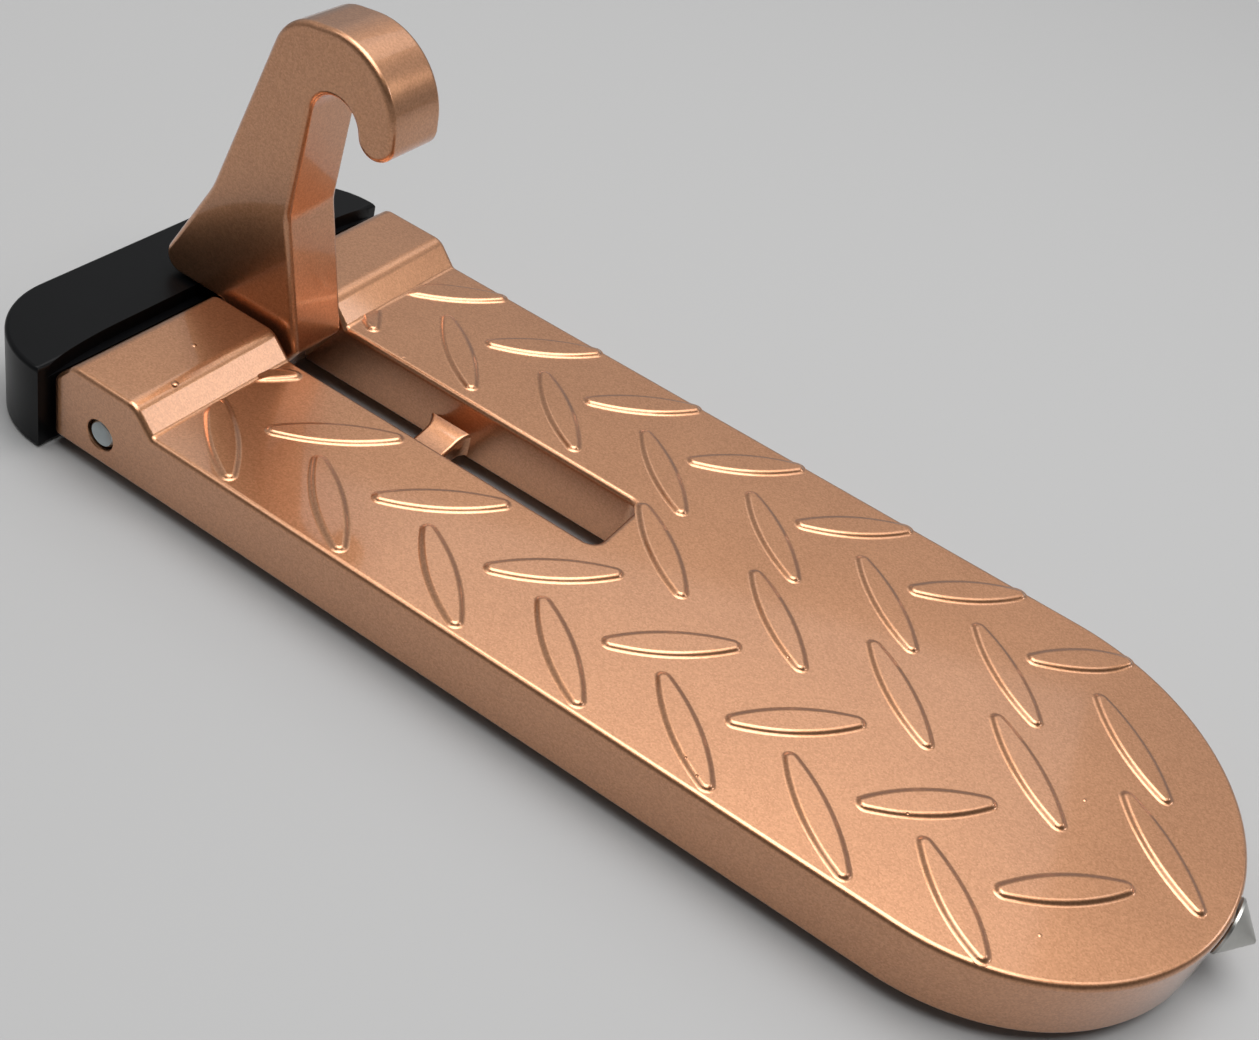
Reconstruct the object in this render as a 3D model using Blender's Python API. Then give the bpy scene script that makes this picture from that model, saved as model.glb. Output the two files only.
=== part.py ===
"""Folding step that hangs on a car's door striker.

A die-cast tread plate carries a thick hook between two lugs at its car end. The hook turns on a
steel pin, stands up to hang on the striker, and folds down into a slot along the tread. A rubber
buffer keeps the plate off the bodywork, and a steel point in the rounded end breaks glass.

X runs from the buffer (car side) to the rounded end, Y is along the hinge pin and Z is up. The
origin is under the middle of the whole step, at the height of the buffer's underside.
"""

import math

import bmesh
import bpy
from mathutils import Matrix, Vector

# Tread plate. Lengths along X are measured from the hinge axis.
plate_width = 0.0600
plate_thickness = 0.0087
hinge_to_back = 0.0081
hinge_to_tip = 0.1388
edge_radius = 0.0008
base_radius = 0.0005
back_corner_radius = 0.0012

# Hinge lugs, a little higher than the tread, and the ramp down from them.
lug_rise = 0.0032
lug_chamfer_length = 0.0034
lug_chamfer_drop = 0.0036
lug_back_radius = 0.0020
ramp_top = 0.0051
ramp_foot = 0.0081
ramp_crown_radius = 0.0024
ramp_foot_radius = 0.0009

# Slot for the folded hook, the saddle rib across it and the wall that closes it at the back.
slot_side_gap = 0.0008
slot_end_gap = 0.0066
slot_corner_radius = 0.0018
rib_near = 0.0242
rib_length = 0.0057
rib_drop = 0.0045
rib_base_gap = 0.0006
saddle_dip = 0.0015
rib_flare = 0.0016
back_wall_drop = 0.0006
back_wall_gap = 0.0010

# Raised bars of the tread pattern. A bar's outline is drawn half-way up its soft edge. The bars'
# reach across the tread and the rows' places are shares of the room that two rows of bars have
# each side of the slot, the stagger a share of the pitch. The pattern sits a little askew.
bar_pitch = 0.01668
bar_reach_share = 0.892
bar_width = 0.0036
bar_height = 0.00042
bar_tip_radius = 0.00075
bar_edge = 0.0010
bar_angle = math.radians(42)
bar_margin = 0.0009
first_bar_gap = 0.00623
inner_row_share = 0.626
outer_row_share = 0.541
stagger_share = 0.450
pattern_lean = math.radians(1.0)
pattern_shift = 0.0003

# Pockets that core out the underside.
top_skin = 0.0063
pocket_wall = 0.0045
pocket_rib = 0.0024
pocket_start = 0.0120
pocket_count = 6
pocket_corner_radius = 0.0020

# Hinge pin. Its axis lies this far above the plate's underside.
hinge_height = 0.00428
pin_radius = 0.0018
pin_clearance = 0.0003
pin_recess = 0.0003
pin_chamfer = 0.0002
pin_dish = 0.0002

# Hook. Its side view is drawn from the hinge axis: along X, then up.
hook_thickness = 0.0092
hook_edge_radius = 0.0008
boss_radius = 0.0042
heel_x = -0.0124
heel_radius = 0.0024
heel_clearance = 0.0003
heel_root_radius = 0.0010
stem_back_bend = (-0.01939, 0.02671)
stem_back_radius = 0.0124
crown_back_centre = (0.00576, 0.04287)
crown_back_radius = 0.00642
crown_centre = (0.00842, 0.04012)
crown_radius = 0.0095
nose_centre = (0.01539, 0.0392)
nose_radius = 0.00258
throat_centre = (0.00934, 0.03832)
throat_radius = 0.0035
stem_front_bend = (0.0105, 0.0236)
stem_front_radius = 0.0060
stem_foot = (0.0069, 0.0050)
stem_foot_radius = 0.0012

# Rubber buffer, with a shallow recess along its upper inner edge.
pad_drop = 0.00205
pad_height = 0.01225
pad_depth = 0.0134
pad_overhang = 0.0018
pad_corner_radius = 0.0126
pad_seat_gap = 0.0003
pad_edge_radius = 0.0006
recess_drop = 0.0019
recess_depth = 0.00115
recess_flat_length = 0.0360
recess_length = 0.0610

# Mushroom studs on the back of the lugs, over which the buffer is pressed.
stud_spacing = 0.0360
stud_neck_radius = 0.0020
stud_head_radius = 0.0030
stud_neck_length = 0.0036
stud_head_length = 0.0030
stud_clearance = 0.0003
stud_height = 0.0041

# Steel point in the rounded end, and the spot face that it stands over.
point_length = 0.0036
point_radius = 0.0036
point_tip_radius = 0.00045
point_height = 0.00477
point_rim = 0.0004
point_clearance = 0.0003
spot_face_depth = 0.00025
shank_radius = 0.0020
shank_length = 0.0090

# Heights and places that follow from the sizes above.
underside_z = pad_drop
tread_z = underside_z + plate_thickness
hinge_z = underside_z + hinge_height
point_z = underside_z + point_height
half_width = plate_width / 2
slot_half = hook_thickness / 2 + slot_side_gap
slot_end = crown_centre[1] + crown_radius + slot_end_gap
row_room = (half_width - slot_half) / 2
bar_length = row_room * bar_reach_share / math.sin(bar_angle)
tip_centre = hinge_to_tip - half_width
pad_front = -hinge_to_back - pad_seat_gap
pad_back = pad_front - pad_depth
hinge_x = -(pad_back + hinge_to_tip + point_length) / 2
pin_bore_radius = pin_radius + pin_clearance
heel_z = pad_height - hinge_z + heel_clearance

# How finely round forms are drawn, and how deep a cast-on piece starts inside its neighbour.
round_sides = 24
fine_sides = 32
arc_step = 15.0
embed = 0.0005


def material(name, colour, roughness, metallic):
    made = bpy.data.materials.new(name)
    made.use_nodes = True
    shader = made.node_tree.nodes["Principled BSDF"]
    shader.inputs["Base Color"].default_value = (*colour, 1.0)
    shader.inputs["Roughness"].default_value = roughness
    shader.inputs["Metallic"].default_value = metallic
    made.diffuse_color = (*colour, 1.0)
    return made


def add_object(name, mesh_maker, finish=None, parent=None):
    """Make an object from a bmesh; one without a finish is a cutter or a part to join."""
    mesh = bpy.data.meshes.new(name)
    mesh_maker.to_mesh(mesh)
    mesh_maker.free()
    made = bpy.data.objects.new(name, mesh)
    bpy.context.scene.collection.objects.link(made)
    if finish:
        mesh.materials.append(finish)
    else:
        made.hide_render = True
        made.display_type = 'WIRE'
    made.parent = parent
    return made


def shade_round(obj, angle=35):
    obj.data.shade_smooth()
    obj.data.set_sharp_from_angle(angle=math.radians(angle))


def boolean(obj, operation, tool):
    step = obj.modifiers.new(tool.name, 'BOOLEAN')
    step.operation = operation
    step.solver = 'EXACT'
    step.object = tool


def arc(centre, radius, start, stop, step=arc_step):
    """Points on a circle from one angle to another, in degrees."""
    count = max(1, math.ceil(abs(stop - start) / step - 1e-6))
    points = []
    for index in range(count + 1):
        angle = math.radians(start + (stop - start) * index / count)
        points.append((centre[0] + radius * math.cos(angle), centre[1] + radius * math.sin(angle)))
    return points


def tangent_heading(first, second):
    """Angle of the normal to the straight run between two arcs of a belt, in degrees."""
    (from_x, from_y), from_radius = first
    (to_x, to_y), to_radius = second
    distance = math.hypot(to_x - from_x, to_y - from_y)
    heading = math.atan2(to_y - from_y, to_x - from_x)
    return math.degrees(heading + math.acos((from_radius - to_radius) / distance))


def belt(circles, step=arc_step):
    """Closed clockwise outline round circles; a negative radius bends it the other way."""
    points = []
    for index, (centre, radius) in enumerate(circles):
        arriving = tangent_heading(circles[index - 1], circles[index])
        leaving = tangent_heading(circles[index], circles[(index + 1) % len(circles)])
        sweep = (leaving - arriving + 180) % 360 - 180
        points += arc(centre, radius, arriving, arriving + sweep, step)
    return points


def rounded_corner(before, corner, after, radius):
    """Points of an arc that rounds the corner between two straight lines."""
    corner = Vector(corner)
    back = (Vector(before) - corner).normalized()
    ahead = (Vector(after) - corner).normalized()
    half_angle = back.angle(ahead) / 2
    centre = corner + (back + ahead).normalized() * (radius / math.sin(half_angle))
    first = corner + back * (radius / math.tan(half_angle)) - centre
    last = corner + ahead * (radius / math.tan(half_angle)) - centre
    start = math.degrees(math.atan2(first.y, first.x))
    sweep = (math.degrees(math.atan2(last.y, last.x)) - start + 180) % 360 - 180
    return arc(centre, radius, start, start + sweep)


def flat_shape(outline, height=0.0):
    """A bmesh holding one flat face over a closed outline."""
    shape = bmesh.new()
    corners = [shape.verts.new((x, y, height)) for x, y in outline]
    shape.faces.new(corners)
    return shape


def prism(outline, low, high):
    """An upright solid over an outline in X and Y."""
    shape = flat_shape(outline, low)
    grown = bmesh.ops.extrude_face_region(shape, geom=shape.faces[:])
    lifted = [item for item in grown["geom"] if isinstance(item, bmesh.types.BMVert)]
    bmesh.ops.translate(shape, verts=lifted, vec=(0, 0, high - low))
    bmesh.ops.recalc_face_normals(shape, faces=shape.faces[:])
    return shape


def turned(profile, steps):
    """A solid of revolution about Z; the profile is radius and height, from bottom to top."""
    shape = bmesh.new()
    corners = [shape.verts.new((radius, 0, height)) for radius, height in profile]
    edges = [shape.edges.new(pair) for pair in zip(corners, corners[1:])]
    bmesh.ops.spin(shape, geom=corners + edges, cent=(0, 0, 0), axis=(0, 0, 1),
                   angle=math.tau, steps=steps, use_merge=True)
    bmesh.ops.remove_doubles(shape, verts=shape.verts[:], dist=1e-6)
    bmesh.ops.recalc_face_normals(shape, faces=shape.faces[:])
    return shape


def join(target, source):
    """Add one bmesh's geometry to another."""
    spare = bpy.data.meshes.new("spare")
    source.to_mesh(spare)
    source.free()
    target.from_mesh(spare)
    bpy.data.meshes.remove(spare)


def lug_profile():
    """Rise over the tread along X: chamfered back edge, flat top, and a ramp down to the tread."""
    back = (-hinge_to_back, lug_rise - lug_chamfer_drop)
    edge = (lug_chamfer_length - hinge_to_back, lug_rise)
    crest = (ramp_top, lug_rise)
    foot = (ramp_foot, 0.0)
    tread = (hinge_to_tip, 0.0)
    top = rounded_corner(back, edge, crest, lug_back_radius)
    top += rounded_corner(edge, crest, foot, ramp_crown_radius)
    return [back] + top + rounded_corner(crest, foot, tread, ramp_foot_radius)


def rise_at(profile, x):
    """Height of the profile at x, on the straight line between its points."""
    for (x0, z0), (x1, z1) in zip(profile, profile[1:]):
        if x <= x1:
            return z0 + (z1 - z0) * max(0.0, x - x0) / (x1 - x0)
    return 0.0


def plate_outline():
    """Plan of the plate: square back, rounded end, and the slot open at the back."""
    back = -hinge_to_back
    inset = back_corner_radius
    outside = arc((back + inset, inset - half_width), inset, 180, 270, 30)
    outside += arc((tip_centre, 0), half_width, -90, 90, 5)
    outside += arc((back + inset, half_width - inset), inset, 90, 180, 30)
    corner = (slot_end - slot_corner_radius, slot_half - slot_corner_radius)
    far_side = [(back, slot_half)] + arc(corner, slot_corner_radius, 90, 0, 22.5)
    near_side = [(x, -y) for x, y in reversed(far_side)]
    return outside + far_side + near_side


def level_rim(shape, height):
    """Edges round the flat face at a height."""
    return [edge for edge in shape.edges
            if all(abs(corner.co.z - height) < 1e-6 for corner in edge.verts)]


def bevel(shape, edges, radius, segments):
    bmesh.ops.bevel(shape, geom=edges, offset=radius, offset_type='OFFSET', segments=segments, profile=0.5,
                    affect='EDGES', clamp_overlap=False, material=-1)


def plate_blank():
    """The plate before its bars, bores and pockets: a rounded prism, lifted at the lugs."""
    profile = lug_profile()
    shape = prism(plate_outline(), underside_z, tread_z)
    bevel(shape, level_rim(shape, tread_z), edge_radius, 3)
    bevel(shape, level_rim(shape, underside_z), base_radius, 1)
    for x, _ in profile[1:]:
        bmesh.ops.bisect_plane(shape, geom=shape.verts[:] + shape.edges[:] + shape.faces[:], dist=1e-6,
                               plane_co=(x, 0, 0), plane_no=(1, 0, 0))
    mid_height = (underside_z + tread_z) / 2
    for corner in shape.verts:
        if corner.co.z > mid_height:
            corner.co.z += rise_at(profile, corner.co.x)
    bmesh.ops.recalc_face_normals(shape, faces=shape.faces[:])
    return shape


def bar_foot(before, after):
    """Lens with round tips, lying along X; its two halves may differ in length."""
    half = (bar_width + bar_edge) / 2
    tip = bar_tip_radius + bar_edge / 2
    outline = []
    for reach, side in ((after, 1), (before, -1)):
        run = reach + bar_edge / 2 - tip
        long_radius = (run ** 2 / (half - tip) + tip + half) / 2
        swing = math.degrees(math.atan2(long_radius - half, run))
        end = arc((run, 0), tip, -swing, swing, 40)
        upper = arc((0, half - long_radius), long_radius, swing, 90, 6)
        lower = [(x, -y) for x, y in reversed(upper)]
        outline += [(side * x, side * y) for x, y in lower + end[1:-1] + upper[:-1]]
    return outline


def bar(centre, turn, before, after):
    """One raised bar with a soft edge, hollow at the foot and round at the top."""
    shape = prism(bar_foot(before, after), -embed, 0.0)
    top = [face for face in shape.faces if face.normal.z > 0.9]
    foot = (0.30, 0.16)
    flank = (0.40, 0.68)
    for run_share, height_share in (foot, flank, foot):
        bmesh.ops.inset_region(shape, faces=top, thickness=bar_edge * run_share, use_even_offset=True,
                               use_boundary=True)
        corners = list({corner for face in top for corner in face.verts})
        bmesh.ops.translate(shape, verts=corners, vec=(0, 0, bar_height * height_share))
    place = Matrix.Translation((centre[0], centre[1], tread_z)) @ Matrix.Rotation(turn, 4, 'Z')
    bmesh.ops.transform(shape, matrix=place, verts=shape.verts[:])
    return shape


def room_to_edge(centre, heading):
    """How far a bar may run from its centre along a heading before it nears the plate's edge."""
    step = bar_length / 200
    reach = bar_length / 2
    limit = half_width - bar_margin
    while reach > step:
        x = centre[0] + heading.x * reach
        y = centre[1] + heading.y * reach
        past_round_end = x > tip_centre and math.hypot(x - tip_centre, y) > limit
        if not past_round_end and abs(y) <= limit:
            break
        reach -= step
    return reach


def bar_rows():
    """Each row of bars as its place across the plate, its first place along X and its slant."""
    inner = slot_half + row_room * inner_row_share
    outer = half_width - row_room * outer_row_share
    first = slot_end + first_bar_gap
    inner_first = first - bar_pitch * stagger_share
    start = ramp_foot - bar_pitch / 4
    rows = [(-outer, first, -1), (-inner, inner_first, 1), (0.0, first, -1),
            (inner, inner_first, -1), (outer, first, 1)]
    for y, x, slant in rows:
        if y:
            x -= math.floor((x - start) / bar_pitch) * bar_pitch
        yield y + pattern_shift, x - y * math.tan(pattern_lean), slant


def tread_bars():
    """All the bars; one that the rounded end would shorten too much is left out."""
    shape = bmesh.new()
    for y, x, slant in bar_rows():
        turn = slant * bar_angle + pattern_lean
        ahead = Vector((math.cos(turn), math.sin(turn)))
        while x < hinge_to_tip:
            before = room_to_edge((x, y), -ahead)
            after = room_to_edge((x, y), ahead)
            if before + after > bar_length * 0.8:
                join(shape, bar((x, y), turn, before, after))
            x += bar_pitch
    return shape


def saddle_rib():
    """Rib across the slot with a dished top, flared in plan where it runs into the walls."""
    middle = rib_near + rib_length / 2
    base = underside_z + rib_base_gap
    shape = bmesh.new()
    loops = []
    for share in (-1.0, -0.92, -0.8, -0.6, -0.3, 0.0, 0.3, 0.6, 0.8, 0.92, 1.0):
        half = rib_length / 2 + rib_flare * (abs(share) ** 8 - 0.2)
        top = tread_z - rib_drop - saddle_dip * (1 - share ** 2)
        ring = [(middle - half, base), (middle + half, base), (middle + half, top - base_radius),
                (middle + half - base_radius, top), (middle - half + base_radius, top),
                (middle - half, top - base_radius)]
        corners = [shape.verts.new((x, share * (slot_half + embed), z)) for x, z in ring]
        loops.append([shape.edges.new(pair) for pair in zip(corners, corners[1:] + corners[:1])])
    for first, second in zip(loops, loops[1:]):
        bmesh.ops.bridge_loops(shape, edges=first + second)
    bmesh.ops.holes_fill(shape, edges=loops[0] + loops[-1], sides=0)
    bmesh.ops.recalc_face_normals(shape, faces=shape.faces[:])
    return shape


def box(low, high):
    shape = bmesh.new()
    bmesh.ops.create_cube(shape, size=1.0)
    size = [b - a for a, b in zip(low, high)]
    centre = [(a + b) / 2 for a, b in zip(low, high)]
    bmesh.ops.scale(shape, vec=size, verts=shape.verts[:])
    bmesh.ops.translate(shape, vec=centre, verts=shape.verts[:])
    return shape


def stud_profile(clearance=0.0):
    """Radius and distance from the lug's back of a mushroom stud, or of the socket round it."""
    neck = stud_neck_radius + clearance
    head = stud_head_radius + clearance
    shoulder = stud_neck_length - clearance
    end = stud_neck_length + stud_head_length + clearance
    return [(0, -embed), (neck, -embed), (neck, shoulder), (head, shoulder),
            (head, shoulder + stud_head_length / 3), (neck, end), (0, end)]


def studs(clearance=0.0):
    shape = bmesh.new()
    for side in (-1, 1):
        one = turned(stud_profile(clearance), 16)
        place = Matrix.Translation((-hinge_to_back, side * stud_spacing / 2, underside_z + stud_height))
        bmesh.ops.transform(one, matrix=place @ Matrix.Rotation(math.radians(-90), 4, 'Y'), verts=one.verts[:])
        join(shape, one)
    return shape


def plate_additions():
    """What is cast on to the blank below the tread: saddle rib, back wall and studs."""
    shape = saddle_rib()
    wall = box((embed - hinge_to_back, -slot_half - embed, underside_z + rib_base_gap),
               (-boss_radius - back_wall_gap, slot_half + embed, tread_z - back_wall_drop))
    join(shape, wall)
    join(shape, studs())
    return shape


def across(shape, height=0.0):
    """Turn a shape drawn about Z so that its axis lies along Y at a height."""
    place = Matrix.Translation((0, 0, height)) @ Matrix.Rotation(math.radians(90), 4, 'X')
    bmesh.ops.transform(shape, matrix=place, verts=shape.verts[:])
    return shape


def pin_bore(half_length):
    radius = pin_bore_radius
    return turned([(0, -half_length), (radius, -half_length), (radius, half_length), (0, half_length)],
                  round_sides)


def point_place():
    """Places a turned shape so that its top points out of the rounded end."""
    return Matrix.Translation((hinge_to_tip, 0, point_z)) @ Matrix.Rotation(math.radians(90), 4, 'Y')


def point_bore():
    """Bore for the shank, with a spot face round its mouth."""
    wide = point_radius + point_clearance
    narrow = shank_radius + point_clearance
    bottom = -spot_face_depth - shank_length
    shape = turned([(0, bottom), (narrow, bottom), (narrow, -spot_face_depth), (wide, -spot_face_depth),
                    (wide, point_length), (0, point_length)], round_sides)
    bmesh.ops.transform(shape, matrix=point_place(), verts=shape.verts[:])
    return shape


def pocket_outlines():
    """Plans of the pockets on one side: a row of oblongs, and one that fills the rounded end."""
    inner = slot_half + pocket_wall
    outer = half_width - pocket_wall
    pitch = (tip_centre - pocket_start) / pocket_count
    for index in range(pocket_count):
        low = pocket_start + pitch * index
        high = low + pitch - pocket_rib
        yield [(low, inner), (high, inner), (high, outer), (low, outer)]
    start = math.degrees(math.asin(inner / outer))
    yield [(tip_centre, inner)] + arc((tip_centre, 0), outer, start, 90, 10)


def pockets():
    """Cutters for the pockets, each with rounded upright corners."""
    shape = bmesh.new()
    for side in (1, -1):
        for outline in pocket_outlines():
            one = prism([(x, side * y) for x, y in outline], underside_z - embed, tread_z - top_skin)
            uprights = [edge for edge in one.edges
                        if abs(edge.verts[0].co.z - edge.verts[1].co.z) > embed
                        and edge.calc_face_angle() > math.radians(30)]
            bevel(one, uprights, pocket_corner_radius, 3)
            join(shape, one)
    return shape


def plate_cavities():
    """What is bored or cored out of the casting."""
    shape = across(pin_bore(half_width + edge_radius), hinge_z)
    join(shape, point_bore())
    join(shape, pockets())
    return shape


def hook_outline():
    """Side view of the hook: boss, heel, stem, crown, nose and throat, as arcs joined by tangents."""
    root = (-boss_radius - heel_root_radius, heel_z - heel_root_radius)
    return belt([
        ((0.0, 0.0), boss_radius),
        (root, -heel_root_radius),
        ((heel_x, heel_z + heel_radius), heel_radius),
        (stem_back_bend, -stem_back_radius),
        (crown_back_centre, crown_back_radius),
        (crown_centre, crown_radius),
        (nose_centre, nose_radius),
        (throat_centre, -throat_radius),
        (stem_front_bend, -stem_front_radius),
        (stem_foot, stem_foot_radius),
    ], 12)


def hook_body():
    half = hook_thickness / 2
    shape = prism(hook_outline(), -half, half)
    bevel(shape, level_rim(shape, half) + level_rim(shape, -half), hook_edge_radius, 2)
    return across(shape)


def pad_outline():
    """Plan of the buffer: square inner corners and large outer ones."""
    half = half_width + pad_overhang
    centre_x = pad_back + pad_corner_radius
    outline = arc((centre_x, half - pad_corner_radius), pad_corner_radius, 90, 180, 10)
    outline += arc((centre_x, pad_corner_radius - half), pad_corner_radius, 180, 270, 10)
    return outline + [(pad_front, -half), (pad_front, half)]


def pad_body():
    shape = prism(pad_outline(), 0.0, pad_height)
    bevel(shape, level_rim(shape, 0.0) + level_rim(shape, pad_height), pad_edge_radius, 2)
    return shape


def pad_recess():
    """Cutter for the recess, which deepens in an arc from each end of the inner edge."""
    flat_half = recess_flat_length / 2
    run = recess_length / 2 - flat_half
    radius = (run ** 2 + recess_depth ** 2) / (2 * recess_depth)
    centre_x = pad_front - recess_depth + radius
    sweep = math.degrees(math.asin(run / radius))
    outline = [(pad_front + embed, recess_length / 2)]
    outline += arc((centre_x, flat_half), radius, 180 - sweep, 180, 3)
    outline += arc((centre_x, -flat_half), radius, 180, 180 + sweep, 3)
    outline.append((pad_front + embed, -recess_length / 2))
    return prism(outline, pad_height - recess_drop, pad_height + embed)


def steel_point():
    """Blunt cone on a rim and a plain shank, turned about its own axis."""
    back = point_clearance - spot_face_depth
    end = back - shank_length
    rim = (point_radius, back + point_rim)
    nose = (0, point_length - point_tip_radius)
    profile = [(0, end), (shank_radius, end), (shank_radius, back), (point_radius, back), rim]
    profile += arc(nose, point_tip_radius, tangent_heading((nose, point_tip_radius), (rim, 0.0)), 90)
    shape = turned(profile, fine_sides)
    bmesh.ops.transform(shape, matrix=point_place(), verts=shape.verts[:])
    return shape


def hinge_pin():
    """Plain pin with chamfered, slightly dished ends, drawn about its own middle."""
    half = half_width - pin_recess
    face = pin_radius - pin_chamfer
    profile = [(0, pin_dish - half), (face, -half), (pin_radius, pin_chamfer - half),
               (pin_radius, half - pin_chamfer), (face, half), (0, half - pin_dish)]
    return across(turned(profile, round_sides))


def empty(name, place, parent=None):
    made = bpy.data.objects.new(name, None)
    made.empty_display_size = 0.01
    made.location = place
    made.parent = parent
    bpy.context.scene.collection.objects.link(made)
    return made


def build():
    for obj in list(bpy.data.objects):
        bpy.data.objects.remove(obj, do_unlink=True)

    copper_paint = material("copper_paint", (0.62, 0.36, 0.24), 0.38, 0.85)
    rubber = material("black_rubber", (0.012, 0.013, 0.014), 0.55, 0.0)
    steel = material("bright_steel", (0.56, 0.60, 0.61), 0.35, 1.0)

    step = empty("step_frame", (hinge_x, 0, 0))
    hinge = empty("hinge_axis", (0, 0, hinge_z), step)

    plate = add_object("step_plate", plate_blank(), copper_paint, step)
    boolean(plate, 'UNION', add_object("plate_additions", plate_additions(), None, step))
    boolean(plate, 'UNION', add_object("tread_bars", tread_bars(), None, step))
    boolean(plate, 'DIFFERENCE', add_object("plate_cavities", plate_cavities(), None, step))
    shade_round(plate)

    hook = add_object("latch_hook", hook_body(), copper_paint, hinge)
    boolean(hook, 'DIFFERENCE', add_object("hook_bore", across(pin_bore(hook_thickness)), None, hinge))
    shade_round(hook)

    pin = add_object("hinge_pin", hinge_pin(), steel, hinge)
    shade_round(pin)

    pad = add_object("buffer_pad", pad_body(), rubber, step)
    boolean(pad, 'DIFFERENCE', add_object("pad_recess", pad_recess(), None, step))
    boolean(pad, 'DIFFERENCE', add_object("stud_sockets", studs(stud_clearance), None, step))
    shade_round(pad)

    point = add_object("breaker_point", steel_point(), steel, step)
    shade_round(point)


build()
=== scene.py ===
"""Looks of a folding step that hangs on a car's door striker.

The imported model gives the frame. Its five pieces are made again here in the same place with finer
curves and edges, and each gets its finish: satin copper paint with a fine flake, moulded black
rubber, and turned steel. Lengths are in metres; X runs from the buffer to the rounded end.
"""

import math

import bmesh
import bpy
from mathutils import Matrix, Vector


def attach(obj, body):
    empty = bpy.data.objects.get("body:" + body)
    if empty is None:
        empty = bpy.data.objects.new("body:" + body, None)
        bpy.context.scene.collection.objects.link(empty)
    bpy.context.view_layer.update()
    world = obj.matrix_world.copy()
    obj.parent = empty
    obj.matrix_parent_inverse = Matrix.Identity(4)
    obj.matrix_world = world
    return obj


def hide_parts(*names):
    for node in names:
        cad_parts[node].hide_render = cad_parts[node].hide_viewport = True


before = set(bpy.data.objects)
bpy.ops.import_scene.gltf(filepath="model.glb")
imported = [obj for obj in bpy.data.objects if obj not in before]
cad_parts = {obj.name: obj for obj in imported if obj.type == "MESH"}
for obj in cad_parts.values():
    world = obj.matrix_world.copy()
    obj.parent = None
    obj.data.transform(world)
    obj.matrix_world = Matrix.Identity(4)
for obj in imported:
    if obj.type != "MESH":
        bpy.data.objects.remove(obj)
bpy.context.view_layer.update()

# Tread plate. Lengths along X are measured from the hinge axis.
half_width = 0.0300
underside_z = 0.00205
tread_z = 0.01075
back_x = -0.0081
tip_centre = 0.1088
slot_half = 0.0054
slot_end = 0.05622
slot_corner_radius = 0.0018
edge_radius = 0.0008
base_radius = 0.0005
back_corner_radius = 0.0012
lug_rise = 0.0032
lug_chamfer = (0.0034, 0.0036)
lug_back_radius = 0.0020
ramp = (0.0051, 0.0081)
ramp_crown_radius = 0.0024
ramp_foot_radius = 0.0009

# Saddle rib across the slot, and the wall that closes the slot at the back. The rib's flare grows as a
# power of the way to the slot's walls, less a share that narrows its waist.
fitting_lift = 0.0006
rib_middle = 0.02705
rib_half = 0.00285
rib_drop = 0.0045
rib_dip = 0.0015
rib_flare = 0.0016
rib_flare_power = 8
rib_waist = 0.2
rib_edge_radius = 0.0005
rib_steps = 16
wall_drop = 0.0006
wall_front = -0.0052
wall_edge_radius = 0.0004

# Mushroom studs that carry the buffer. Their lengths are measured from the plate's back.
stud_y = 0.0180
stud_lift = 0.0041
stud_neck_radius = 0.0020
stud_head_radius = 0.0030
stud_shoulder = 0.0036
stud_rim = 0.0010
stud_length = 0.0066
stud_clearance = 0.0003

# Pockets that core out the underside.
pocket_margin = 0.0045
pocket_start = 0.0120
pocket_count = 6
pocket_gap = 0.0024
pocket_depth = 0.0024
pocket_corner_radius = 0.0020
pocket_floor_radius = 0.0005

# Raised bars: rows across the tread, and one bar's outline half-way up its soft edge.
bar_pitch = 0.01668
bar_half_length = 0.0082
bar_half_width = 0.0018
bar_height = 0.00042
bar_tip_radius = 0.00075
bar_edge = 0.0010
bar_fade = 0.0008
bar_angle = math.radians(42)
bar_margin = 0.0009
bar_trim = bar_half_length / 100
shortest_bar = bar_half_length * 1.6
pattern_lean = math.radians(1.0)
pattern_shift = 0.0003
bar_rows = ((-0.02335, 0.06245, -1), (-0.01310, 0.05494, 1), (0.0, 0.06245, -1),
            (0.01310, 0.05494, -1), (0.02335, 0.06245, 1))
tread_start = ramp[1] - bar_pitch / 4

# Small flaws on the plate's top: place and radius of the nibs under the paint, and of the pits in bars.
nib_flatness = 0.4
pit_flatness = 1.0
nibs = ((0.00115, -0.01590, 0.01385, 0.00048), (0.00500, -0.02306, 0.01377, 0.00054),
        (0.01719, 0.00660, 0.01066, 0.00042), (0.12166, -0.02034, 0.01068, 0.00034),
        (0.11948, 0.00112, 0.01069, 0.00031))
pits = ((0.08307, -0.00470, 0.01117, 0.00030), (0.10411, -0.01600, 0.01117, 0.00024),
        (0.08174, -0.02660, 0.01117, 0.00018), (0.08390, -0.02790, 0.01117, 0.00020))

# Hinge pin and its bores. The dish in its ends is given by shares of their radius and depths.
hinge_x = -0.0603
hinge_z = 0.00633
pin_radius = 0.0018
pin_half_length = 0.0297
pin_chamfer = 0.0002
pin_dish = ((0.0, 0.0002), (0.5, 0.00017), (0.8, 0.0001), (1.0, 0.0))
bore_radius = 0.0021
plate_bore_flare = 0.00012
hook_bore_flare = 0.0003

# Steel point in the rounded end, and its bore. Lengths are measured outwards from the plate's end.
point_z = 0.00682
point_radius = 0.0036
point_back = 0.00005
point_rim = 0.0004
point_chamfer = 0.0001
point_tip = 0.00315
point_tip_radius = 0.00045
shank_radius = 0.0020
shank_end = -0.00895
shank_bore_radius = 0.0023
shank_bore_end = -0.00925
spot_face_clearance = 0.0003
spot_face_z = -0.00025
spot_face_top = 0.0036

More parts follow.
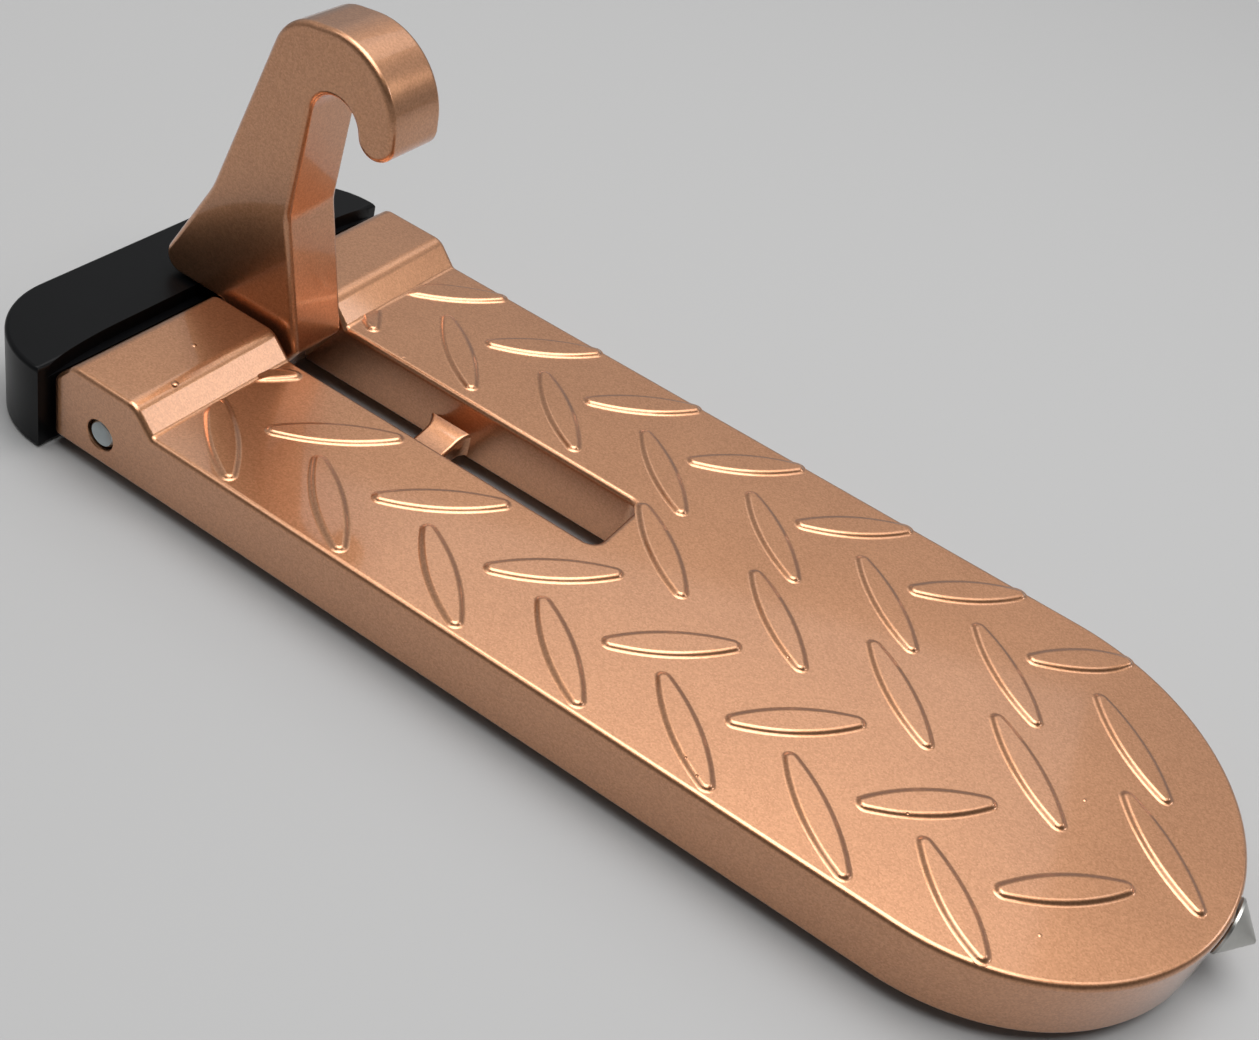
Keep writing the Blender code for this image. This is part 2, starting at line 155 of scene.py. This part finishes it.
# Rubber buffer, and the recess along the front edge of its top, which runs out in an arc at each end.
pad_front = -0.0084
pad_back = -0.0218
pad_half = 0.0318
pad_height = 0.01225
pad_corner_radius = 0.0126
pad_edge_radius = 0.0006
recess_half = 0.0305
recess_middle = 0.0180
recess_run = 0.0125
recess_bow = 0.00115
recess_depth = 0.0019

# Hook: the circles that its side view runs round, from the hinge axis; a negative one bends inwards.
hook_half = 0.0046
hook_edge_radius = 0.0008
hook_circles = (
    ((0.0, 0.0), 0.0042),
    ((-0.0052, 0.00522), -0.0010),
    ((-0.0124, 0.00862), 0.0024),
    ((-0.01939, 0.02671), -0.0124),
    ((0.00576, 0.04287), 0.00642),
    ((0.00842, 0.04012), 0.0095),
    ((0.01539, 0.0392), 0.00258),
    ((0.00934, 0.03832), -0.0035),
    ((0.0105, 0.0236), -0.0060),
    ((0.0069, 0.0050), 0.0012),
)

# How far shapes run into each other or past a cut face, how far the bars' feet lie under the tread, and
# the distance within which points count as one. Arcs are stepped in degrees, turned shapes in parts.
embed = 0.0005
sunk = 0.000002
tolerance = 1e-6
arc_step = 6.0
stud_steps = 32
bore_steps = 64
point_steps = 96
sharp_angle = math.radians(32)
quarter_turn = math.radians(90)


# Outlines

def arc(centre, radius, start, stop, step=arc_step):
    """Points on a circle from one angle to another, in degrees; a rounding error adds no step."""
    count = max(1, math.ceil(abs(stop - start) / step - 1e-6))
    angles = [math.radians(start + (stop - start) * index / count) for index in range(count + 1)]
    return [(centre[0] + radius * math.cos(a), centre[1] + radius * math.sin(a)) for a in angles]


def tangent_heading(first, second):
    """Angle of the normal to the straight run between two circles of a belt, in degrees."""
    (from_x, from_y), from_radius = first
    (to_x, to_y), to_radius = second
    distance = math.hypot(to_x - from_x, to_y - from_y)
    heading = math.atan2(to_y - from_y, to_x - from_x)
    return math.degrees(heading + math.acos((from_radius - to_radius) / distance))


def belt(circles, step):
    """Closed outline round circles."""
    points = []
    for index, (centre, radius) in enumerate(circles):
        arriving = tangent_heading(circles[index - 1], circles[index])
        leaving = tangent_heading(circles[index], circles[(index + 1) % len(circles)])
        sweep = (leaving - arriving + 180) % 360 - 180
        points += arc(centre, radius, arriving, arriving + sweep, step)
    return points


def rounded_corner(before, corner, after, radius, step=arc_step):
    """Points of an arc that rounds the corner between two straight lines."""
    corner = Vector(corner)
    back = (Vector(before) - corner).normalized()
    ahead = (Vector(after) - corner).normalized()
    half_angle = back.angle(ahead) / 2
    centre = corner + (back + ahead).normalized() * (radius / math.sin(half_angle))
    first = corner + back * (radius / math.tan(half_angle)) - centre
    last = corner + ahead * (radius / math.tan(half_angle)) - centre
    start = math.degrees(math.atan2(first.y, first.x))
    sweep = (math.degrees(math.atan2(last.y, last.x)) - start + 180) % 360 - 180
    return arc(centre, radius, start, start + sweep, step)


# Solids

def upright(outline, low, high):
    """An upright solid over an outline; a point that repeats the one before it is left out."""
    shape = bmesh.new()
    pairs = zip(outline[-1:] + outline, outline)
    corners = [point for before, point in pairs if math.dist(before, point) > tolerance]
    shape.faces.new([shape.verts.new((x, y, low)) for x, y in corners])
    grown = bmesh.ops.extrude_face_region(shape, geom=shape.faces[:])
    lifted = [item for item in grown["geom"] if isinstance(item, bmesh.types.BMVert)]
    bmesh.ops.translate(shape, verts=lifted, vec=(0, 0, high - low))
    bmesh.ops.recalc_face_normals(shape, faces=shape.faces[:])
    return shape


def turned(profile, steps):
    """A solid of revolution about Z; the profile is radius and height, from bottom to top."""
    shape = bmesh.new()
    corners = [shape.verts.new((radius, 0, height)) for radius, height in profile]
    edges = [shape.edges.new(pair) for pair in zip(corners, corners[1:])]
    bmesh.ops.spin(shape, geom=corners + edges, cent=(0, 0, 0), axis=(0, 0, 1),
                   angle=math.tau, steps=steps, use_merge=True)
    bmesh.ops.remove_doubles(shape, verts=shape.verts[:], dist=tolerance)
    bmesh.ops.recalc_face_normals(shape, faces=shape.faces[:])
    return shape


def block(low, high):
    """A box between two corners."""
    shape = bmesh.new()
    bmesh.ops.create_cube(shape, size=1.0)
    bmesh.ops.scale(shape, vec=[b - a for a, b in zip(low, high)], verts=shape.verts[:])
    bmesh.ops.translate(shape, vec=[(a + b) / 2 for a, b in zip(low, high)], verts=shape.verts[:])
    return shape


def round_edges(shape, edges, radius, segments):
    """Round edges off to a radius."""
    bmesh.ops.bevel(shape, geom=edges, offset=radius, offset_type='OFFSET', segments=segments, profile=0.5,
                    affect='EDGES', clamp_overlap=False, material=-1)


def round_rim(shape, height, radius, segments):
    """Round the edges of the flat face at a height."""
    rim = [edge for edge in shape.edges if all(abs(end.co.z - height) < tolerance for end in edge.verts)]
    round_edges(shape, rim, radius, segments)


def place(shape, matrix):
    """Move a bmesh to its place, and give it back."""
    bmesh.ops.transform(shape, matrix=matrix, verts=shape.verts[:])
    return shape


def join(target, source):
    """Add one bmesh's geometry to another."""
    spare = bpy.data.meshes.new("spare")
    source.to_mesh(spare)
    source.free()
    target.from_mesh(spare)
    bpy.data.meshes.remove(spare)


def object_from(name, shape):
    """A named object in the scene, made from a bmesh."""
    mesh = bpy.data.meshes.new(name)
    shape.to_mesh(mesh)
    shape.free()
    made = bpy.data.objects.new(name, mesh)
    bpy.context.scene.collection.objects.link(made)
    return made


def combine(obj, operation, shape):
    """Add a shape to an object or cut it away, and keep the result as the object's own mesh."""
    tool = object_from("tool", shape)
    step = obj.modifiers.new("cut", 'BOOLEAN')
    step.operation = operation
    step.solver = 'EXACT'
    step.object = tool
    bpy.context.view_layer.update()
    result = bpy.data.meshes.new_from_object(obj.evaluated_get(bpy.context.evaluated_depsgraph_get()))
    obj.modifiers.clear()
    obj.data = result
    bpy.data.objects.remove(tool)


def dress(obj, finish, body, node):
    """Give a finished piece its place, its shading and its finish."""
    obj.data.transform(Matrix.Translation((hinge_x, 0, 0)))
    obj.data.materials.clear()
    obj.data.materials.append(finish)
    obj.data.shade_smooth()
    obj.data.set_sharp_from_angle(angle=sharp_angle)
    weighted = obj.modifiers.new("even_shading", 'WEIGHTED_NORMAL')
    weighted.mode = 'FACE_AREA'
    weighted.keep_sharp = True
    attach(obj, body)
    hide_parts(node)


# Tread plate

def lug_profile():
    """Rise over the tread along X: chamfered back edge, flat top, and a ramp down to the tread."""
    back = (back_x, lug_rise - lug_chamfer[1])
    edge = (back_x + lug_chamfer[0], lug_rise)
    crest = (ramp[0], lug_rise)
    foot = (ramp[1], 0.0)
    top = rounded_corner(back, edge, crest, lug_back_radius)
    top += rounded_corner(edge, crest, foot, ramp_crown_radius)
    return [back] + top + rounded_corner(crest, foot, (tip_centre, 0.0), ramp_foot_radius)


def rise_at(profile, x):
    """Height of a profile at a place along X; past its end it is level with the tread."""
    for (x0, z0), (x1, z1) in zip(profile, profile[1:]):
        if x <= x1:
            return z0 + (z1 - z0) * max(0.0, x - x0) / (x1 - x0)
    return 0.0


def plate_outline():
    """Plan of the plate: square back, rounded end, and the slot open at the back."""
    inset = back_corner_radius
    outside = arc((back_x + inset, inset - half_width), inset, 180, 270, 10)
    outside += arc((tip_centre, 0), half_width, -90, 90, 2)
    outside += arc((back_x + inset, half_width - inset), inset, 90, 180, 10)
    corner = (slot_end - slot_corner_radius, slot_half - slot_corner_radius)
    far_side = [(back_x, slot_half)] + arc(corner, slot_corner_radius, 90, 0)
    near_side = [(x, -y) for x, y in reversed(far_side)]
    return outside + far_side + near_side


def plate_blank():
    """The plate before its ribs, bores and pockets: a rounded solid, lifted at the lugs."""
    shape = upright(plate_outline(), underside_z, tread_z)
    round_rim(shape, tread_z, edge_radius, 6)
    round_rim(shape, underside_z, base_radius, 3)
    profile = lug_profile()
    for x, _ in profile[1:]:
        bmesh.ops.bisect_plane(shape, geom=shape.verts[:] + shape.edges[:] + shape.faces[:],
                               dist=tolerance, plane_co=(x, 0, 0), plane_no=(1, 0, 0))
    middle = (underside_z + tread_z) / 2
    for corner in shape.verts:
        if corner.co.z > middle:
            corner.co.z += rise_at(profile, corner.co.x)
    bmesh.ops.recalc_face_normals(shape, faces=shape.faces[:])
    return shape


def saddle_rib():
    """Rib with a dished top, flared in plan where it runs into the slot's walls."""
    base = underside_z + fitting_lift
    radius = rib_edge_radius
    shape = bmesh.new()
    loops = []
    for index in range(-rib_steps, rib_steps + 1):
        share = math.sin(quarter_turn * index / rib_steps)
        half = rib_half + rib_flare * (abs(share) ** rib_flare_power - rib_waist)
        top = tread_z - rib_drop - rib_dip * (1 - share ** 2)
        ring = [(rib_middle - half, base), (rib_middle + half, base)]
        ring += arc((rib_middle + half - radius, top - radius), radius, 0, 90, 15)
        ring += arc((rib_middle - half + radius, top - radius), radius, 90, 180, 15)
        corners = [shape.verts.new((x, share * (slot_half + embed), z)) for x, z in ring]
        loops.append([shape.edges.new(pair) for pair in zip(corners, corners[1:] + corners[:1])])
    for first, second in zip(loops, loops[1:]):
        bmesh.ops.bridge_loops(shape, edges=first + second)
    bmesh.ops.holes_fill(shape, edges=loops[0] + loops[-1], sides=0)
    bmesh.ops.recalc_face_normals(shape, faces=shape.faces[:])
    return shape


def stud(side, clearance=0.0):
    """Mushroom stud on the back of a lug, or with a clearance the socket round it."""
    neck = stud_neck_radius + clearance
    head = stud_head_radius + clearance
    shoulder = stud_shoulder - clearance
    end = stud_length + clearance
    shape = turned([(0, -embed), (neck, -embed), (neck, shoulder), (head, shoulder),
                    (head, shoulder + stud_rim), (neck, end), (0, end)], stud_steps)
    return place(shape, Matrix.Translation((back_x, side * stud_y, underside_z + stud_lift))
                 @ Matrix.Rotation(-quarter_turn, 4, 'Y'))


def slot_fittings():
    """What is cast on to the blank below the tread: saddle rib, back wall and studs."""
    shape = saddle_rib()
    top = tread_z - wall_drop
    wall = block((back_x + embed, -slot_half - embed, underside_z + fitting_lift),
                 (wall_front, slot_half + embed, top))
    edges = [edge for edge in wall.edges if all(abs(end.co.z - top) < tolerance for end in edge.verts)
             and abs(edge.verts[0].co.x - edge.verts[1].co.x) < tolerance]
    round_edges(wall, edges, wall_edge_radius, 4)
    join(shape, wall)
    for side in (-1, 1):
        join(shape, stud(side))
    return shape


def flared_bore(radius, half_length, flare):
    """Cutter for a bore right through, with a small chamfer at each mouth that runs on past the face."""
    wide = radius + flare + embed
    end = half_length + embed
    return turned([(0, -end), (wide, -end), (radius, flare - half_length), (radius, half_length - flare),
                   (wide, end), (0, end)], bore_steps)


def point_bore():
    """Bore for the shank, with a spot face round its mouth."""
    wide = point_radius + spot_face_clearance
    shape = turned([(0, shank_bore_end), (shank_bore_radius, shank_bore_end),
                    (shank_bore_radius, spot_face_z), (wide, spot_face_z),
                    (wide, spot_face_top), (0, spot_face_top)], bore_steps)
    return place(shape, point_place)


def pockets():
    """Cutters for the pockets that core out the underside."""
    shape = bmesh.new()
    ceiling = underside_z + pocket_depth
    inner = slot_half + pocket_margin
    outer = half_width - pocket_margin
    pitch = (tip_centre - pocket_start) / pocket_count
    outlines = []
    for index in range(pocket_count):
        low = pocket_start + pitch * index
        high = low + pitch - pocket_gap
        outlines.append([(low, inner), (high, inner), (high, outer), (low, outer)])
    start = math.degrees(math.asin(inner / outer))
    outlines.append([(tip_centre, inner)] + arc((tip_centre, 0), outer, start, 90))
    for side in (1, -1):
        for outline in outlines:
            one = upright([(x, side * y) for x, y in outline], underside_z - embed, ceiling)
            uprights = [edge for edge in one.edges
                        if abs(edge.verts[0].co.z - edge.verts[1].co.z) > embed
                        and edge.calc_face_angle() > math.radians(30)]
            round_edges(one, uprights, pocket_corner_radius, 8)
            round_rim(one, ceiling, pocket_floor_radius, 3)
            join(shape, one)
    return shape


def bar_foot(before, after):
    """Lens with round tips, lying along X; its two halves may differ in length."""
    half = bar_half_width + bar_edge / 2
    tip = bar_tip_radius + bar_edge / 2
    outline = []
    for reach, side in ((after, 1), (before, -1)):
        run = reach + bar_edge / 2 - tip
        long_radius = (run ** 2 / (half - tip) + tip + half) / 2
        swing = math.degrees(math.atan2(long_radius - half, run))
        end = arc((run, 0), tip, -swing, swing, 10)
        upper = arc((0, half - long_radius), long_radius, swing, 90, 1.2)
        lower = [(x, -y) for x, y in reversed(upper)]
        outline += [(side * x, side * y) for x, y in lower + end[1:-1] + upper[:-1]]
    return outline


def soft_edge(width, height, steps):
    """Inset and height up a soft edge: a hollow arc at the foot runs into a round one at the top."""
    slope = 2 * math.atan2(height, width)
    radius = width / (2 * math.sin(slope))
    angles = [slope * index / steps for index in range(steps + 1)]
    foot = [(radius * math.sin(a), radius * (1 - math.cos(a))) for a in angles]
    return foot + [(width - x, height - z) for x, z in reversed(foot[:-1])]


def bar(centre, turn, before, after):
    """One raised bar, made by insetting and lifting its top face up the soft edge; it fades at the ramp."""
    shape = upright(bar_foot(before, after), -embed, -sunk)
    top = [face for face in shape.faces if face.normal.z > 0.9]
    section = soft_edge(bar_edge, bar_height + sunk, 6)
    for (inset, height), (next_inset, next_height) in zip(section, section[1:]):
        bmesh.ops.inset_region(shape, faces=top, thickness=next_inset - inset, use_even_offset=True,
                               use_boundary=True)
        corners = list({corner for face in top for corner in face.verts})
        bmesh.ops.translate(shape, verts=corners, vec=(0, 0, next_height - height))
    place(shape, Matrix.Translation((centre[0], centre[1], tread_z)) @ Matrix.Rotation(turn, 4, 'Z'))
    for corner in shape.verts:
        if corner.co.z > tread_z:
            share = min(1.0, max(0.0, (corner.co.x - ramp[1]) / bar_fade))
            corner.co.z = tread_z - sunk + (corner.co.z - tread_z + sunk) * share
    return shape


def room_to_edge(centre, heading):
    """How far a bar may run from its centre along a heading before it nears the plate's edge."""
    reach = bar_half_length
    limit = half_width - bar_margin
    while reach > 0:
        x = centre[0] + heading.x * reach
        y = centre[1] + heading.y * reach
        past_end = x > tip_centre and math.hypot(x - tip_centre, y) > limit
        if not past_end and abs(y) <= limit:
            break
        reach -= bar_trim
    return reach


def tread_bars():
    """All the bars; one that the rounded end would shorten too much is left out."""
    shape = bmesh.new()
    for y, x, slant in bar_rows:
        if y:
            x -= math.floor((x - tread_start) / bar_pitch) * bar_pitch
        x -= y * math.tan(pattern_lean)
        turn = slant * bar_angle + pattern_lean
        ahead = Vector((math.cos(turn), math.sin(turn)))
        while x < tip_centre + half_width:
            middle = (x, y + pattern_shift)
            before = room_to_edge(middle, -ahead)
            after = room_to_edge(middle, ahead)
            if before + after > shortest_bar:
                join(shape, bar(middle, turn, before, after))
            x += bar_pitch
    return shape


def specks(spots, flatness):
    """Balls, flat or round, to add to the plate's top as nibs or to cut from the bars as pits."""
    shape = bmesh.new()
    flat = Matrix.Diagonal((1.0, 1.0, flatness, 1.0))
    for x, y, z, radius in spots:
        one = bmesh.new()
        bmesh.ops.create_icosphere(one, subdivisions=2, radius=radius)
        join(shape, place(one, Matrix.Translation((x, y, z)) @ flat))
    return shape


def tread_plate():
    """The casting: blank, ribs, bars and nibs, less its bores, pockets and pits."""
    plate = object_from("tread_plate", plate_blank())
    combine(plate, 'UNION', slot_fittings())
    combine(plate, 'UNION', tread_bars())
    combine(plate, 'UNION', specks(nibs, nib_flatness))
    cut = place(flared_bore(bore_radius, half_width, plate_bore_flare), across)
    join(cut, point_bore())
    join(cut, pockets())
    join(cut, specks(pits, pit_flatness))
    combine(plate, 'DIFFERENCE', cut)
    return plate


# Hook, pin, buffer and point

def hook():
    """The hook: its side view run through its thickness, with round edges and a flared bore."""
    shape = upright(belt(hook_circles, 4), -hook_half, hook_half)
    round_rim(shape, hook_half, hook_edge_radius, 6)
    round_rim(shape, -hook_half, hook_edge_radius, 6)
    made = object_from("door_hook", place(shape, across))
    combine(made, 'DIFFERENCE', place(flared_bore(bore_radius, hook_half, hook_bore_flare), across))
    return made


def pin():
    """The pin, with a small chamfer and a shallow dish at each end."""
    face = pin_radius - pin_chamfer
    end = pin_half_length
    dish = [(face * share, end - depth) for share, depth in pin_dish]
    profile = [(radius, -height) for radius, height in dish]
    profile += [(pin_radius, pin_chamfer - end), (pin_radius, end - pin_chamfer)] + dish[::-1]
    return object_from("pivot_pin", place(turned(profile, bore_steps), across))


def buffer():
    """The buffer, with its recess and the sockets that the plate's studs sit in."""
    corner_x = pad_back + pad_corner_radius
    outline = arc((corner_x, pad_half - pad_corner_radius), pad_corner_radius, 90, 180, 3)
    outline += arc((corner_x, pad_corner_radius - pad_half), pad_corner_radius, 180, 270, 3)
    outline += [(pad_front, -pad_half), (pad_front, pad_half)]
    shape = upright(outline, 0.0, pad_height)
    for height in (0.0, pad_height):
        round_rim(shape, height, pad_edge_radius, 5)
    made = object_from("rubber_buffer", shape)
    radius = (recess_run ** 2 + recess_bow ** 2) / (2 * recess_bow)
    sweep = math.degrees(math.asin(recess_run / radius))
    middle = pad_front - recess_bow + radius
    recess = [(pad_front + embed, recess_half)]
    recess += arc((middle, recess_middle), radius, 180 - sweep, 180, 1)
    recess += arc((middle, -recess_middle), radius, 180, 180 + sweep, 1)
    recess += [(pad_front + embed, -recess_half)]
    cut = upright(recess, pad_height - recess_depth, pad_height + embed)
    for side in (-1, 1):
        join(cut, stud(side, stud_clearance))
    combine(made, 'DIFFERENCE', cut)
    return made


def steel_point():
    """Blunt cone on a short rim and a plain shank."""
    rim = (point_radius, point_back + point_rim)
    tip = (0, point_tip)
    lean = tangent_heading((tip, point_tip_radius), (rim, 0.0))
    profile = [(0, shank_end), (shank_radius, shank_end), (shank_radius, point_back),
               (point_radius - point_chamfer, point_back), (point_radius, point_back + point_chamfer), rim]
    profile += arc(tip, point_tip_radius, lean, 90, 8)
    return object_from("glass_point", place(turned(profile, point_steps), point_place))


# Finishes

class Value:
    """A shader value that takes part in arithmetic; each step becomes a Math node."""

    def __init__(self, maker, socket):
        self.maker = maker
        self.socket = socket

    def math(self, operation, *values):
        return self.maker.node("ShaderNodeMath", {"operation": operation}, values)

    def __add__(self, other):
        return self.math('ADD', self, other)

    def __radd__(self, other):
        return self.math('ADD', other, self)

    def __sub__(self, other):
        return self.math('SUBTRACT', self, other)

    def __rsub__(self, other):
        return self.math('SUBTRACT', other, self)

    def __mul__(self, other):
        return self.math('MULTIPLY', self, other)

    def __rmul__(self, other):
        return self.math('MULTIPLY', other, self)

    def between(self, low, high):
        """0 below low, 1 above high, and smooth between them."""
        return self.maker.node("ShaderNodeMapRange", {"interpolation_type": 'SMOOTHSTEP'},
                               {"Value": self, "From Min": low, "From Max": high})


class Nodes:
    """A node tree and the one method that adds a node to it."""

    def __init__(self, tree):
        self.tree = tree

    def node(self, kind, settings, values, output=0):
        made = self.tree.nodes.new(kind)
        for name, value in settings.items():
            setattr(made, name, value)
        pairs = values.items() if isinstance(values, dict) else enumerate(values)
        for name, value in pairs:
            if isinstance(value, Value):
                self.tree.links.new(value.socket, made.inputs[name])
            else:
                made.inputs[name].default_value = value
        return Value(self, made.outputs[output])


class Finish(Nodes):
    """A material and the few patterns that the finishes are made of."""

    def __init__(self, name, fixed):
        self.material = bpy.data.materials.new(name)
        self.material.use_nodes = True
        super().__init__(self.material.node_tree)
        self.shader = self.tree.nodes["Principled BSDF"]
        for socket, value in fixed.items():
            self.set(socket, value)
        self.place = self.node("ShaderNodeTexCoord", {}, {}, "Object")

    def set(self, name, value):
        if isinstance(value, Value):
            self.tree.links.new(value.socket, self.shader.inputs[name])
        else:
            self.shader.inputs[name].default_value = value

    def noise(self, size, detail=2.0, roughness=0.5, stretch=(1, 1, 1)):
        """Noise from 0 to 1 whose features are about a size, in metres, drawn out along the axes."""
        where = self.node("ShaderNodeMapping", {}, {"Vector": self.place,
                                                    "Scale": [1 / (size * s) for s in stretch]})
        return self.node("ShaderNodeTexNoise", {}, {"Vector": where, "Scale": 1.0, "Detail": detail,
                                                    "Roughness": roughness})

    def cells(self, size):
        """Cells of about a size, in metres, each with a random colour of its own."""
        where = self.node("ShaderNodeMapping", {}, {"Vector": self.place, "Scale": (1 / size,) * 3})
        return self.node("ShaderNodeTexVoronoi", {}, {"Vector": where, "Scale": 1.0}, "Color")

    def tint(self, share, low, high):
        """A colour between two, by a share from 0 to 1."""
        return self.node("ShaderNodeMix", {"data_type": 'RGBA'},
                         {"Factor": share, 6: (*low, 1.0), 7: (*high, 1.0)}, 2)

    def bump(self, height, distance, under=None):
        values = {"Strength": 1.0, "Distance": distance, "Height": height}
        if under:
            values["Normal"] = under
        return self.node("ShaderNodeBump", {}, values)


def copper_paint():
    """Satin copper metallic paint: fine flake, faint orange peel and a thin clear coat."""
    paint = Finish("copper_paint", {"Metallic": 0.94, "Coat Weight": 1.0, "Coat Roughness": 0.07})
    drift = paint.noise(0.012, 3.0)
    grain = paint.noise(0.00030, 2.0)
    flake = paint.cells(0.00020)
    spark = paint.node("ShaderNodeSeparateColor", {}, (flake,))
    share = drift * 0.2 + grain * 0.4 + spark * 0.4
    paint.set("Base Color", paint.tint(share, (0.43, 0.190, 0.085), (0.75, 0.378, 0.201)))
    paint.set("Roughness", 0.25 + drift * 0.04 + grain * 0.06)
    peel = paint.noise(0.0016, 1.0)
    paint.set("Normal", paint.bump(spark, 0.0000022, paint.bump(peel, 0.000006)))
    return paint.material


def black_rubber():
    """Moulded black rubber with a fine dull grain."""
    rubber = Finish("black_rubber", {"Metallic": 0.0, "Specular IOR Level": 0.15})
    grain = rubber.noise(0.00022, 2.0)
    bloom = rubber.noise(0.009, 3.0)
    rubber.set("Base Color", rubber.tint(bloom, (0.0012, 0.0014, 0.0019), (0.0026, 0.0029, 0.0036)))
    rubber.set("Roughness", 0.28 + bloom * 0.08 + grain * 0.06)
    rubber.set("Normal", rubber.bump(grain, 0.000006))
    return rubber.material


def bright_steel(name, across_axis, dull, bright):
    """Steel with fine tool marks round the axis that it was turned about."""
    steel = Finish(name, {"Metallic": 1.0})
    stretch = [6.0, 6.0, 6.0]
    stretch[across_axis] = 1.0
    marks = steel.noise(0.00012, 2.0, 0.6, stretch)
    blotch = steel.noise(0.0012, 2.0)
    steel.set("Base Color", steel.tint(blotch, dull, bright))
    steel.set("Roughness", 0.24 + marks * 0.10 + blotch * 0.08)
    steel.set("Normal", steel.bump(marks, 0.000005))
    return steel.material


# The object: where the hinge's and the point's axes lie, and its five pieces

across = Matrix.Translation((0, 0, hinge_z)) @ Matrix.Rotation(quarter_turn, 4, 'X')
point_place = (Matrix.Translation((tip_centre + half_width, 0, point_z))
               @ Matrix.Rotation(quarter_turn, 4, 'Y'))

copper = copper_paint()
dress(tread_plate(), copper, "step", "step_plate")
dress(hook(), copper, "hook", "latch_hook")
pin_steel = bright_steel("pin_steel", 2, (0.36, 0.40, 0.41), (0.48, 0.53, 0.54))
point_steel = bright_steel("point_steel", 0, (0.44, 0.44, 0.42), (0.56, 0.55, 0.52))
dress(pin(), pin_steel, "step", "hinge_pin")
dress(buffer(), black_rubber(), "step", "buffer_pad")
dress(steel_point(), point_steel, "step", "breaker_point")


# Floor, light and camera

def floor():
    """Pale studio floor under the step."""
    shape = bmesh.new()
    bmesh.ops.create_grid(shape, x_segments=1, y_segments=1, size=3.0)
    made = object_from("floor", shape)
    pale = Finish("pale_floor", {"Base Color": (0.45, 0.45, 0.45, 1.0), "Roughness": 0.7,
                                 "Specular IOR Level": 0.2})
    made.data.materials.append(pale.material)


def softbox(name, direction, distance, size, strength):
    """An area light turned towards the step; its strength is the brightness of its face."""
    light = bpy.data.lights.new(name, 'AREA')
    light.shape = 'RECTANGLE'
    light.size, light.size_y = size
    light.energy = strength * math.pi * size[0] * size[1]
    made = bpy.data.objects.new(name, light)
    bpy.context.scene.collection.objects.link(made)
    made.location = Vector(direction).normalized() * distance
    made.rotation_euler = made.location.to_track_quat('Z', 'Y').to_euler()


def surroundings():
    """Grey sky, lighter above the horizon but dark towards the right front, and four softboxes.

    The dark part gives the thin dark lines along the bars; the key light gives the white ones.
    """
    world = bpy.data.worlds.new("studio")
    bpy.context.scene.world = world
    world.use_nodes = True
    sky = Nodes(world.node_tree)
    heading = sky.node("ShaderNodeTexCoord", {}, {}, "Generated")
    right_front = (0.8, -1.0, 0.0)
    forwards = sky.node("ShaderNodeVectorMath", {"operation": 'DOT_PRODUCT'},
                        (heading, right_front), "Value")
    above = sky.node("ShaderNodeSeparateXYZ", {}, (heading,), "Z").between(0.2, 0.42)
    horizon, gain_above, loss_forwards = 0.27, 0.17, 0.38
    strength = horizon + above * (gain_above - loss_forwards * forwards.between(0.05, 0.35))
    background = world.node_tree.nodes["Background"]
    background.inputs["Color"].default_value = (1.0, 1.0, 1.0, 1.0)
    sky.tree.links.new(strength.socket, background.inputs["Strength"])
    softbox("overhead", (-0.05, 0.05, 1.0), 0.8, (1.40, 0.44), 1.3)
    softbox("key", (0.06, 0.05, 1.0), 0.7, (0.67, 0.48), 3.5)
    softbox("back", (-0.24, 0.57, 0.80), 0.9, (0.74, 0.34), 0.69)
    softbox("right_back", (0.63, 0.60, 0.50), 0.8, (0.23, 0.13), 3.3)
    scene = bpy.context.scene
    scene.view_settings.view_transform = 'Standard'
    scene.view_settings.look = 'None'


def camera():
    """The photograph's view, fitted to the tread's bars, the slot and the rounded end."""
    position = (0.04948, -0.13781, 0.13358)
    azimuth, elevation, roll = (math.radians(a) for a in (20.82, 39.41, 17.52))
    lens = bpy.data.cameras.new("camera")
    lens.sensor_width = 36.0
    lens.lens = 44.57
    lens.clip_start = 0.01
    made = bpy.data.objects.new("camera", lens)
    bpy.context.scene.collection.objects.link(made)
    made.matrix_world = (Matrix.Translation(position) @ Matrix.Rotation(azimuth, 4, 'Z')
                         @ Matrix.Rotation(quarter_turn - elevation, 4, 'X')
                         @ Matrix.Rotation(roll, 4, 'Z'))
    bpy.context.scene.camera = made


floor()
surroundings()
camera()
